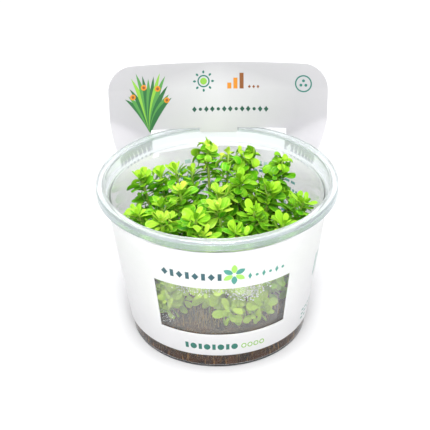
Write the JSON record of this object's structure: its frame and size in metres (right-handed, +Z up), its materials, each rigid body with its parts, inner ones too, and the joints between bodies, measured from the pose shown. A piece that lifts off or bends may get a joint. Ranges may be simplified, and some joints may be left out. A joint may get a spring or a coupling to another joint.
{
  "type": "aquarium plant culture cup",
  "caption": "Clear culture cup of young round-leaved stem plants on dark gel, held in a white card sleeve with a window and a tall rounded header behind the rim.",
  "frame": {"origin": "middle of the cup's base, on the plane that it stands on", "axes": "+Z up along the cup's axis, -Y towards the side with the sleeve's window, so that the card header stands at +Y; +X is to the right as seen from the front"},
  "size_m": [0.095, 0.095, 0.0947],
  "materials": {
    "clear_plastic": "polished",
    "white_card": "satin",
    "culture_gel": "satin",
    "leaf_fresh": "satin",
    "leaf_green": "satin",
    "leaf_deep": "satin"
  },
  "bodies": {
    "root": {"cup": "clear_plastic", "card_sleeve": "white_card", "medium": "culture_gel", "shoot_01": "leaf_fresh", "shoot_02": "leaf_fresh", "shoot_03": "leaf_green", "shoot_04": "leaf_deep", "shoot_05": "leaf_green", "shoot_06": "leaf_green", "shoot_07": "leaf_deep", "shoot_08": "leaf_green", "shoot_09": "leaf_fresh", "shoot_10": "leaf_fresh", "shoot_11": "leaf_fresh", "shoot_12": "leaf_deep", "shoot_13": "leaf_green", "shoot_14": "leaf_green", "shoot_15": "leaf_green", "shoot_16": "leaf_fresh", "shoot_17": "leaf_green", "shoot_18": "leaf_fresh", "shoot_19": "leaf_green", "shoot_20": "leaf_deep", "shoot_21": "leaf_green", "shoot_22": "leaf_deep", "shoot_23": "leaf_green", "shoot_24": "leaf_deep", "shoot_25": "leaf_deep", "shoot_26": "leaf_deep", "shoot_27": "leaf_deep", "shoot_28": "leaf_green", "shoot_29": "leaf_fresh", "shoot_30": "leaf_fresh", "shoot_31": "leaf_fresh", "shoot_32": "leaf_green", "shoot_33": "leaf_green", "shoot_34": "leaf_fresh", "shoot_35": "leaf_fresh", "shoot_36": "leaf_fresh"}
  },
  "joints": []
}
